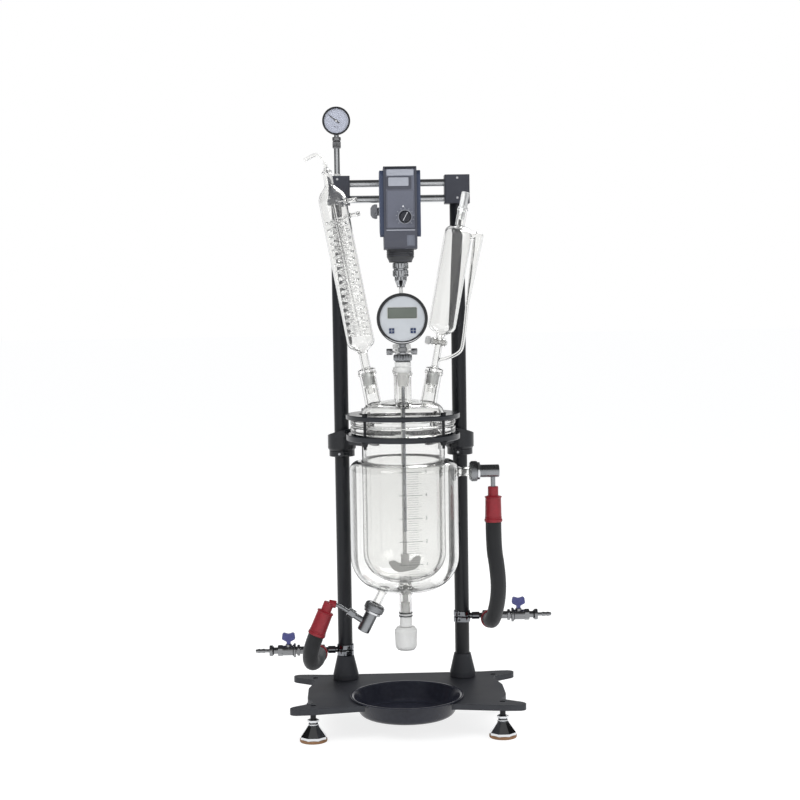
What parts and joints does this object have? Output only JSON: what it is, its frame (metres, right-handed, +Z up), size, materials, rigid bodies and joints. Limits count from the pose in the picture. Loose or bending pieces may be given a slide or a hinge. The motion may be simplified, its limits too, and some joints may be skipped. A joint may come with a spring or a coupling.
{
  "type": "jacketed glass reactor",
  "caption": "Jacketed glass reactor on a two-post stand, with stirrer, condenser, dropping funnel, thermometer, gauge, drain valve and water hoses.",
  "frame": {"origin": "on the floor, under the middle of the stand's bounding box", "axes": "+X to the right seen from the front, +Y to the back, +Z up"},
  "size_m": [0.658, 0.332, 1.3341],
  "materials": {
    "black_coat": "satin powder coat",
    "black_enamel": "gloss enamel",
    "stainless": "brushed",
    "chrome": "polished",
    "foot_pad": "soft felt-like rubber",
    "black_plastic": "fine texture",
    "clear_glass": "clear",
    "white_ptfe": "smooth",
    "dark_rubber": "matt",
    "red_rubber": "matt",
    "black_foam": "closed foam",
    "blue_plastic": "moulded",
    "slate_plastic": "painted",
    "navy_plastic": "moulded",
    "panel_film": "printed film",
    "needle_black": "matt",
    "clear_gasket": "soft"
  },
  "bodies": {
    "stand": {"base_plate": "black_coat", "post_sockets": "black_coat", "left_post": "black_coat", "right_post": "black_coat", "left_head_block": "black_coat", "right_head_block": "black_coat", "cross_rods": "stainless", "support_clamps": "black_coat", "set_collars": "black_coat", "inner_vessel": "clear_glass", "vessel_bottom": "clear_glass", "vessel_jacket": "clear_glass", "lid": "clear_glass", "flange_gasket": "clear_gasket", "upper_flange_ring": "black_coat", "lower_flange_ring": "black_coat", "flange_bolts": "black_coat", "drain_valve_body": "white_ptfe", "drain_o_rings": "dark_rubber", "union_nuts": "stainless", "outlet_elbow": "stainless", "inlet_elbow": "stainless", "hose_ends": "red_rubber", "right_hose": "black_foam", "left_hose": "black_foam", "line_clamps": "chrome", "left_ball_valve": "stainless", "right_ball_valve": "stainless", "vacuum_gauge": "black_coat", "stirrer_housing": "slate_plastic", "stirrer_side_covers": "navy_plastic", "stirrer_panel": "panel_film", "stirrer_carrier": "black_coat", "shaft_seal": "white_ptfe", "thermometer_case": "black_plastic", "thermometer_probe": "stainless", "probe_adapter": "white_ptfe", "condenser": "clear_glass", "condenser_coil": "clear_glass", "dropping_funnel": "clear_glass"},
    "stirring_train": {"chuck": "chrome", "stirring_shaft": "white_ptfe"},
    "paddle": {"paddle": "white_ptfe"},
    "speed_knob": {"speed_knob": "black_plastic"},
    "carrier_knob": {"carrier_knob": "black_plastic"},
    "left_valve_handle": {"left_valve_handle": "blue_plastic"},
    "right_valve_handle": {"right_valve_handle": "blue_plastic"},
    "funnel_key": {"funnel_key": "white_ptfe"},
    "funnel_stopper": {"funnel_stopper": "clear_glass"},
    "back_stopper": {"back_stopper": "clear_glass"},
    "drain_knob": {"drain_knob": "white_ptfe"},
    "drain_plunger": {"drain_plunger": "white_ptfe"},
    "drip_pan": {"drip_pan": "black_enamel"},
    "foot_front_left": {"foot_front_left": "chrome"},
    "foot_front_right": {"foot_front_right": "chrome"},
    "foot_back_left": {"foot_back_left": "chrome"},
    "foot_back_right": {"foot_back_right": "chrome"},
    "gauge_needle": {"gauge_needle": "needle_black"},
    "thermometer_button_left": {"thermometer_button_left": "blue_plastic"},
    "thermometer_button_right": {"thermometer_button_right": "blue_plastic"}
  },
  "joints": [
    {"name": "stirring_spin", "type": "hinge", "parent": "stand", "child": "stirring_train", "pos_m": [0, -0.046, 0.98], "axis": [0, 0, 1], "continuous": true},
    {"name": "paddle_fold", "type": "hinge", "parent": "stirring_train", "child": "paddle", "pos_m": [0, -0.046, 0.364], "axis": [0, 1, 0], "range_deg": [-25, 45]},
    {"name": "speed_turn", "type": "hinge", "parent": "stand", "child": "speed_knob", "pos_m": [0.009, -0.151, 1.085], "axis": [0, -1, 0], "range_deg": [-107, 163]},
    {"name": "carrier_clamp_turn", "type": "hinge", "parent": "stand", "child": "carrier_knob", "pos_m": [-0.05, 0.122, 1.107], "axis": [-1, 0, 0], "range_deg": [0, 180]},
    {"name": "left_valve_turn", "type": "hinge", "parent": "stand", "child": "left_valve_handle", "pos_m": [-0.256, 0.122, 0.16], "axis": [0, 0, 1], "range_deg": [0, 90]},
    {"name": "right_valve_turn", "type": "hinge", "parent": "stand", "child": "right_valve_handle", "pos_m": [0.256, 0.122, 0.23], "axis": [0, 0, 1], "range_deg": [-90, 0]},
    {"name": "funnel_key_turn", "type": "hinge", "parent": "stand", "child": "funnel_key", "pos_m": [0.07855, -0.046, 0.82582], "axis": [-0.9823, 0, 0.1874], "range_deg": [-90, 90]},
    {"name": "funnel_stopper_lift", "type": "slide", "parent": "stand", "child": "funnel_stopper", "axis": [0.1874, 0, 0.9823], "range_m": [0, 0.06]},
    {"name": "back_stopper_lift", "type": "slide", "parent": "stand", "child": "back_stopper", "axis": [0, 0, 1], "range_m": [0, 0.06]},
    {"name": "drain_knob_turn", "type": "hinge", "parent": "stand", "child": "drain_knob", "pos_m": [0, -0.046, 0.2], "axis": [0, 0, 1], "range_deg": [0, 720]},
    {"name": "drain_plunger_slide", "type": "slide", "parent": "stand", "child": "drain_plunger", "axis": [0, 0, 1], "range_m": [-0.01005, 0]},
    {"name": "drip_pan_lift", "type": "slide", "parent": "stand", "child": "drip_pan", "axis": [0, 0, 1], "range_m": [0, 0.05]},
    {"name": "foot_front_left_level", "type": "slide", "parent": "stand", "child": "foot_front_left", "axis": [0, 0, 1], "range_m": [-0.006, 0.006]},
    {"name": "foot_front_right_level", "type": "slide", "parent": "stand", "child": "foot_front_right", "axis": [0, 0, 1], "range_m": [-0.006, 0.006]},
    {"name": "foot_back_left_level", "type": "slide", "parent": "stand", "child": "foot_back_left", "axis": [0, 0, 1], "range_m": [-0.006, 0.006]},
    {"name": "foot_back_right_level", "type": "slide", "parent": "stand", "child": "foot_back_right", "axis": [0, 0, 1], "range_m": [-0.006, 0.006]},
    {"name": "gauge_needle_sweep", "type": "hinge", "parent": "stand", "child": "gauge_needle", "pos_m": [-0.13, 0.114, 1.3036], "axis": [0, -1, 0], "range_deg": [-90, 180]},
    {"name": "thermometer_left_press", "type": "slide", "parent": "stand", "child": "thermometer_button_left", "axis": [0, 1, 0], "range_m": [0, 0.001], "stiffness_N_per_m": 400},
    {"name": "thermometer_right_press", "type": "slide", "parent": "stand", "child": "thermometer_button_right", "axis": [0, 1, 0], "range_m": [0, 0.001], "stiffness_N_per_m": 400}
  ],
  "couplings": [
    {"joint": "drain_knob_turn", "follows": "drain_plunger_slide", "rad_per_m": -1250}
  ]
}
